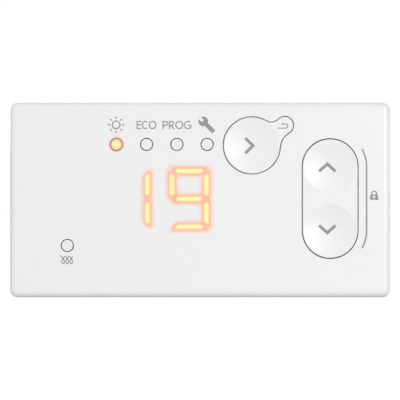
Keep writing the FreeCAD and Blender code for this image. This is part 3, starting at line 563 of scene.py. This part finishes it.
def thin_solid(loops, surface):
    """Corners and faces of filled loops in mm, laid on a surface with the ink's thickness."""
    points = [p for loop in loops for p in loop]
    count = len(points)
    corners = []
    for lift in (-INK_PROUD, INK_SUNK):
        corners += [Vector((p.x, surface(p.x, p.y) + lift, p.y)) * MM for p in points]
    faces = []
    for triangle in tessellate_polygon([[p.to_3d() for p in loop] for loop in loops]):
        faces.append(list(triangle))
        faces.append([count + i for i in reversed(triangle)])
    first = 0
    for loop in loops:
        rim = list(range(first, first + len(loop)))
        faces += [(a, b, b + count, a + count) for a, b in zip(rim, rim[1:] + rim[:1])]
        first += len(loop)
    return corners, faces


print("ink stands", INK_PROUD, "mm proud")

# %% [markdown]
# ## One piece for each symbol
#
# The solids of a symbol go into one mesh. The piece rides on the body that carries it, so a
# symbol on a key moves with the key.

# %% Ink and how it is laid
ink = formed("grey_screen_print_ink", "#8E8E8E", "#969696", grain_mm=0.2, relief_mm=0.001,
             roughness=(0.5, 0.6), IOR=1.5)


def lay_ink(name, shapes, body, surface=face):
    """Print shapes on a surface, as one piece that rides on a body."""
    corners, faces = [], []
    for shape in shapes:
        new_corners, new_faces = thin_solid([refined(loop) for loop in shape], surface)
        faces += [[len(corners) + i for i in new_face] for new_face in new_faces]
        corners += new_corners
    mesh = bpy.data.meshes.new(name)
    mesh.from_pydata(corners, [], faces)
    work = bmesh.new()
    work.from_mesh(mesh)
    bmesh.ops.recalc_face_normals(work, faces=work.faces)
    work.to_mesh(mesh)
    work.free()
    piece = bpy.data.objects.new(name, mesh)
    bpy.context.scene.collection.objects.link(piece)
    piece.data.materials.append(ink)
    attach(piece, body)
    print(name, "on", body, "with", len(mesh.polygons), "faces")


print("ink:", ink.name)

# %% [markdown]
# ## Symbols over the lamps
#
# From the left: a sun for comfort, two plain function words for the economy and programme modes,
# and a wrench for service. Each is placed from the middle of its lamp. The sun is a ring with
# short rays around it.

# %% Sun
SUN, SUN_ROUND, SUN_PEN = LAMP + Vector((-0.05, 4.52)), 0.87, 0.29
RAYS, RAY_FROM, RAY_TO, RAY_PEN = 8, 1.42, 1.9, 0.32
rays = []
for i in range(RAYS):
    turn = 2 * math.pi * i / RAYS
    way = Vector((math.cos(turn), math.sin(turn)))
    rays.append(stroke([SUN + way * RAY_FROM, SUN + way * RAY_TO], RAY_PEN))
lay_ink("comfort_sun", [ring(SUN, (SUN_ROUND, SUN_ROUND), SUN_PEN)] + rays, "housing")

# %% [markdown]
# ## Letters
#
# Blender's text could spell the words, but a few capitals are quickly drawn with the same pen,
# from straight strokes and arcs, just under 2 mm tall. A bar that joins a stem starts at the stem's
# edge, so no ink lies twice. Each letter is drawn between its left and right edge.

# %% Letters
PEN, CAPS_LOW, CAPS_HIGH = 0.26, LAMP.y + 3.52, LAMP.y + 5.43
CAPS_MIDDLE, CAPS_HALF = (CAPS_LOW + CAPS_HIGH) / 2, (CAPS_HIGH - CAPS_LOW - PEN) / 2
E_BAR_RISE, E_BAR_SHORT = 0.06, 0.12
# C and G are open arcs: how many radii they are wide, and the degrees where they begin and end.
C_WIDE, C_FROM, C_TO = 1.75, 52, 308
G_WIDE, G_FROM, G_TO = 1.8, 52, 304
G_CHIN, G_BAR_DROP, G_BAR_IN = 0.3, 0.05, 0.1
BOWL_DROP, R_BOWL_SHORT, R_LEG_IN = 0.08, 0.1, 0.62


def letter_e(left, right):
    stem, low, high = left + PEN / 2, CAPS_LOW + PEN / 2, CAPS_HIGH - PEN / 2
    bar = CAPS_MIDDLE + E_BAR_RISE
    return [stroke([(right, high), (stem, high), (stem, low), (right, low)], PEN),
            stroke([(left + PEN, bar), (right - E_BAR_SHORT, bar)], PEN)]


def letter_o(left, right):
    return [ring(((left + right) / 2, CAPS_MIDDLE), ((right - left - PEN) / 2, CAPS_HALF), PEN)]


def letter_c(left, right):
    reach = (right - left - PEN) / C_WIDE
    return [stroke(arc((left + PEN / 2 + reach, CAPS_MIDDLE), (reach, CAPS_HALF), C_FROM, C_TO), PEN)]


def letter_g(left, right):
    reach = (right - left - PEN) / G_WIDE
    centre, end, bar = left + PEN / 2 + reach, right - PEN / 2, CAPS_MIDDLE - G_BAR_DROP
    bend = arc((centre, CAPS_MIDDLE), (reach, CAPS_HALF), G_FROM, G_TO)
    return [stroke(bend + [(end, CAPS_LOW + G_CHIN), (end, bar), (centre + G_BAR_IN, bar)], PEN)]


def letter_p(left, right):
    stem, high, low = left + PEN / 2, CAPS_HIGH - PEN / 2, CAPS_MIDDLE - BOWL_DROP
    radius = (high - low) / 2
    bowl = arc((right - PEN / 2 - radius, low + radius), (radius, radius), 90, -90, steps=12)
    return [stroke([(stem, CAPS_LOW), (stem, high)] + bowl + [(left + PEN, low)], PEN)]


def letter_r(left, right):
    leg = [(left + R_LEG_IN, CAPS_MIDDLE - BOWL_DROP - PEN / 2), (right - PEN / 2, CAPS_LOW)]
    return letter_p(left, right - R_BOWL_SHORT) + [stroke(leg, PEN)]


print("capitals are", round(CAPS_HIGH - CAPS_LOW, 2), "mm tall")

# %% [markdown]
# ## Words
#
# Each word is a list of letters with their edges, measured from the middle of the lamp below it.
# So a word follows its lamp, should a designer move that in the CAD model.

# %% The two function words


def word(lamp, letters):
    """The strokes of letters, whose edges are given from the middle of a lamp."""
    x = middle(lamp).x
    return [shape for letter, left, right in letters for shape in letter(x + left, x + right)]


ECO = [(letter_e, -2.3, -1.19), (letter_c, -1.1, 0.35), (letter_o, 0.49, 2.27)]
PROG = [(letter_p, -3.3, -2.01), (letter_r, -1.83, -0.56), (letter_o, -0.37, 1.45),
        (letter_g, 1.59, 3.32)]
lay_ink("eco_word", word("eco_light_pipe", ECO), "housing")
lay_ink("programme_word", word("programme_light_pipe", PROG), "housing")

# %% [markdown]
# ## The wrench
#
# It is drawn lying level, with the centre of its head at the origin: two arcs of the head, the
# round bottom of the mouth between them, and a handle with rounded corners. Then it is turned and
# moved to its place.

# %% Wrench
HEAD, HEAD_ROUND = middle("service_light_pipe") + Vector((-0.9, 5.31)), 1.13
JAW_HALF, JAW_DEPTH = 0.37, 0.42
HANDLE_HALF, HANDLE_END, HANDLE_ROUND = 0.49, 3.45, 0.2
WRENCH_TURN = math.radians(-45)


def at(place, points):
    """Points on the face, given from a place on it."""
    return [place + Vector(point) for point in points]


mouth = math.degrees(math.asin(JAW_HALF / HEAD_ROUND))
neck = math.degrees(math.asin(HANDLE_HALF / HEAD_ROUND))
corner_x, corner_z = HANDLE_END - HANDLE_ROUND, HANDLE_HALF - HANDLE_ROUND
outline = arc((0, 0), (HEAD_ROUND, HEAD_ROUND), neck, 180 - mouth)
outline += arc((-JAW_DEPTH, 0), (JAW_HALF, JAW_HALF), 90, -90, steps=12)
outline += arc((0, 0), (HEAD_ROUND, HEAD_ROUND), 180 + mouth, 360 - neck)
outline += arc((corner_x, -corner_z), (HANDLE_ROUND, HANDLE_ROUND), -90, 0, steps=4)
outline += arc((corner_x, corner_z), (HANDLE_ROUND, HANDLE_ROUND), 0, 90, steps=4)
wrench = at(HEAD, [Matrix.Rotation(WRENCH_TURN, 2) @ Vector(point) for point in outline])
lay_ink("service_wrench", [[wrench]], "housing")

# %% [markdown]
# ## Symbols on the keys
#
# Chevrons lie in the hollows of the keys, so they ride on the keys. The small arrow on the lobe
# stands for going back: a pen line with a half turn, and a triangle for its tip.

# %% Chevrons and return arrow
CHEVRON_PEN = 0.69
# Each chevron: the middle of its hollow, its points from there, and the body and surface below it.
CHEVRONS = {
    "mode_chevron": (MODE, [(-1.5, 1.71), (0.27, -0.05), (-1.5, -1.79)], "mode_button", MODE_KEY),
    "warmer_chevron": (UPPER, [(-2.52, -1.03), (-0.6, 0.66), (1.26, -1.07)], "rocker", UPPER_KEY),
    "cooler_chevron": (LOWER, [(-2.52, 1.17), (-0.6, -0.55), (1.26, 1.15)], "rocker", LOWER_KEY)}
for name, (centre, points, body, surface) in CHEVRONS.items():
    lay_ink(name, [stroke(at(centre, points), CHEVRON_PEN)], body, surface)

ARROW, ARROW_ROUND, ARROW_PEN = MODE + Vector((7.79, 4.46)), 0.47, 0.22
ARROW_TAIL, ARROW_NECK, ARROW_TIP, ARROW_BARB = -1.86, -0.56, -1.04, 0.27
bend = arc((0, 0), (ARROW_ROUND, ARROW_ROUND), -90, 90, steps=12)
line = [(ARROW_TAIL, -ARROW_ROUND)] + bend + [(ARROW_NECK, ARROW_ROUND)]
tip = [(ARROW_TIP, ARROW_ROUND), (ARROW_NECK, ARROW_ROUND - ARROW_BARB),
       (ARROW_NECK, ARROW_ROUND + ARROW_BARB)]
lay_ink("return_arrow", [stroke(at(ARROW, line), ARROW_PEN), [at(ARROW, tip)]], "mode_button")

# %% [markdown]
# ## Bracket and padlock
#
# The bracket beside the rocker follows its outline and joins both ends to a padlock: pressing both
# ends together locks the panel. The case of the padlock is one outline that runs into its own
# keyhole from below, and its shackle is a pen line.

# %% Bracket and padlock
BRACKET_ROUND, BRACKET_TURN, BRACKET_PEN = 8.4, 29, 0.35
bracket = arc(LOWER, (BRACKET_ROUND, BRACKET_ROUND), -BRACKET_TURN, 0, steps=16)
bracket += arc(UPPER, (BRACKET_ROUND, BRACKET_ROUND), 0, BRACKET_TURN, steps=16)
lay_ink("lock_bracket", [stroke(bracket, BRACKET_PEN)], "housing")

LOCK, LOCK_HEIGHT, LOCK_FOOT, LOCK_SHOULDER = ROCKER + Vector((10.14, -0.29)), 1.26, 1.0, 0.8
KEYHOLE_RISE, KEYHOLE_ROUND, KEYHOLE_TURN, KEYHOLE_SLOT = 0.72, 0.3, 78, 0.06
SHACKLE_HALF, SHACKLE_ROUND, SHACKLE_STEM, SHACKLE_PEN = 0.58, 0.54, 0.2, 0.27
right_side = [(KEYHOLE_SLOT, 0), (LOCK_FOOT, 0), (LOCK_SHOULDER, LOCK_HEIGHT)]
case = right_side + [(-x, z) for x, z in reversed(right_side)]
case += arc((0, KEYHOLE_RISE), (KEYHOLE_ROUND, KEYHOLE_ROUND),
            180 + KEYHOLE_TURN, -KEYHOLE_TURN, steps=16)
shackle = [(SHACKLE_HALF, LOCK_HEIGHT)]
shackle += arc((0, LOCK_HEIGHT + SHACKLE_STEM), (SHACKLE_HALF, SHACKLE_ROUND), 0, 180)
shackle += [(-SHACKLE_HALF, LOCK_HEIGHT)]
lay_ink("lock_padlock", [[at(LOCK, case)], stroke(at(LOCK, shackle), SHACKLE_PEN)], "housing")

# %% [markdown]
# ## The heat symbol
#
# The wavy coil under the single lamp stands for heat. A coil seen from the side is a curve that
# steps forward while it circles: a trochoid. With the circling faster than the stepping, it makes a
# row of loops. A little of the double frequency rounds them. The line crosses itself, so each half
# turn is a stroke of its own.

# %% Heat coil
COIL, COIL_PITCH = middle("heating_light_pipe") + Vector((-0.02, -3.37)), 0.935
COIL_WIDE, COIL_ROUND, COIL_TALL = 0.44, -0.08, 0.82
COIL_BEGIN, COIL_END, COIL_TAIL = -0.86, 1.985, (-1.55, 1.07)
COIL_PEN, HALF_TURNS, COIL_STEPS = 0.215, 6, 16


def coil(turn):
    """A point of the coil; the middle loop hangs at half a turn."""
    angle = 2 * math.pi * turn
    aside = COIL_WIDE * math.sin(angle) + COIL_ROUND * math.sin(2 * angle)
    return COIL_PITCH * (turn - 0.5) + aside, COIL_TALL * math.cos(angle)


strokes = []
for half in range(HALF_TURNS):
    start = -1 + half / 2
    begin, finish = max(start, COIL_BEGIN), min(start + 0.5, COIL_END)
    curve = [coil(begin + (finish - begin) * k / COIL_STEPS) for k in range(COIL_STEPS + 1)]
    tail = [] if half else [COIL_TAIL]
    strokes.append(stroke(at(COIL, tail + curve), COIL_PEN))
lay_ink("heating_coil", strokes, "housing")

# %% [markdown]
# ## Studio floor
#
# The unit stands on a seamless white sweep that cannot be told from the background. For the
# camera, and for mirrors and glass, the floor glows white, while the light that it gives back to
# the object stays at a plain level. It is only half self-luminous, so it keeps a faint contact
# shadow.

# %% Floor
FLOOR_RADIUS, FLOOR_SIDES = 4.0, 96
FLOOR_GLOW, FLOOR_WHITE = 0.5, 1.63
floor_mesh = bpy.data.meshes.new("paper_sweep")
work = bmesh.new()
bmesh.ops.create_circle(work, cap_ends=True, segments=FLOOR_SIDES, radius=FLOOR_RADIUS)
work.to_mesh(floor_mesh)
work.free()
floor = bpy.data.objects.new("paper_sweep", floor_mesh)
floor.location.z = cad_box[0][2]
bpy.context.scene.collection.objects.link(floor)


def seen(tree):
    """One for rays from the camera, and for those that mirrors or glass send on."""
    path = add(tree, "LightPath").outputs
    kinds = ("Camera", "Glossy", "Transmission")
    return fold(tree, "MAXIMUM", [path[f"Is {kind} Ray"] for kind in kinds])


paper = formed("pale_paper_matt", "#CACACA", "#D0D0D0", grain_mm=3.0, relief_mm=0.01,
               roughness=(0.85, 0.95), IOR=1.4)
tree = paper.node_tree
share = add(tree, "Math", {0: seen(tree), 1: FLOOR_GLOW}, operation="MULTIPLY").outputs[0]
matt = tree.nodes["Principled BSDF"].outputs[0]
shine = add(tree, "Emission", {"Strength": FLOOR_WHITE}).outputs[0]
blend = add(tree, "MixShader", {0: share, 1: matt, 2: shine})
tree.links.new(blend.outputs[0], tree.nodes["Material Output"].inputs["Surface"])
floor_mesh.materials.append(paper)
print("floor at", round(floor.location.z / MM, 2), "mm")

# %% [markdown]
# ## Room
#
# A white room lights the unit from all sides. Seen directly it is pure white, like the floor, and
# as light it is dimmed, so that the soft boxes still give the keys their shape.

# %% World
AMBIENT, ROOM_WHITE = 0.522, 1.02
world = bpy.data.worlds.new("white_room")
bpy.context.scene.world = world
world.use_nodes = True
tree = world.node_tree
level = add(tree, "MapRange", {"Value": seen(tree), "To Min": AMBIENT, "To Max": ROOM_WHITE})
tree.links.new(level.outputs[0], tree.nodes["Background"].inputs["Strength"])
tree.nodes["Background"].inputs["Color"].default_value = linear("#FFFFFF")
print("ambient", AMBIENT)

# %% [markdown]
# ## Light
#
# Soft boxes are broad lamps with an even, soft-edged light. The strong one stands in front on the
# right, as the bright left sides of the hollow keys show, and a weaker one on the left keeps the
# left edge from going dark. A third stands behind, for views of the back. All stand low, a metre
# away, and the camera doesn't see them.

# %% Soft boxes
BOX_AWAY = 1.0
# Each soft box: degrees to the right of the camera, degrees above the unit, size in metres, watts.
SOFT_BOXES = {"key_soft_box": (27, 7, 0.28, 4.38), "fill_soft_box": (-50, 5, 0.5, 2.0),
              "back_soft_box": (205, 9, 0.28, 4.5)}
for name, (right, above, size, power) in SOFT_BOXES.items():
    lamp = bpy.data.lights.new(name, "AREA")
    lamp.size = size
    lamp.energy = power
    soft_box = bpy.data.objects.new(name, lamp)
    turn, rise = math.radians(right), math.radians(above)
    way = Vector((math.sin(turn) * math.cos(rise), -math.cos(turn) * math.cos(rise), math.sin(rise)))
    soft_box.location = way * BOX_AWAY
    soft_box.rotation_euler = (-way).to_track_quat("-Z", "Y").to_euler()
    soft_box.visible_camera = False
    bpy.context.scene.collection.objects.link(soft_box)
    print(name, "at", [round(metres, 2) for metres in soft_box.location])

# %% [markdown]
# ## Camera
#
# The camera looks straight at the face through a long lens, from half a metre away, and the face
# fills the width of the picture. Its distance follows from the width that it should see. The
# Standard view transform shows colours as they were written.

# %% Camera
FRAME_WIDTH, LENS, SENSOR, CLIP_START = 92.25 * MM, 200.0, 36.0, 0.01
lens = bpy.data.cameras.new("long_lens")
lens.lens = LENS
lens.sensor_width = SENSOR
lens.clip_start = CLIP_START
camera = bpy.data.objects.new("long_lens", lens)
camera.location = (0, FACE * MM - FRAME_WIDTH * LENS / SENSOR, 0)
camera.rotation_euler = (math.pi / 2, 0, 0)
bpy.context.scene.collection.objects.link(camera)
bpy.context.scene.camera = camera
bpy.context.scene.view_settings.view_transform = "Standard"
print("camera", round(-camera.location.y, 3), "m in front")
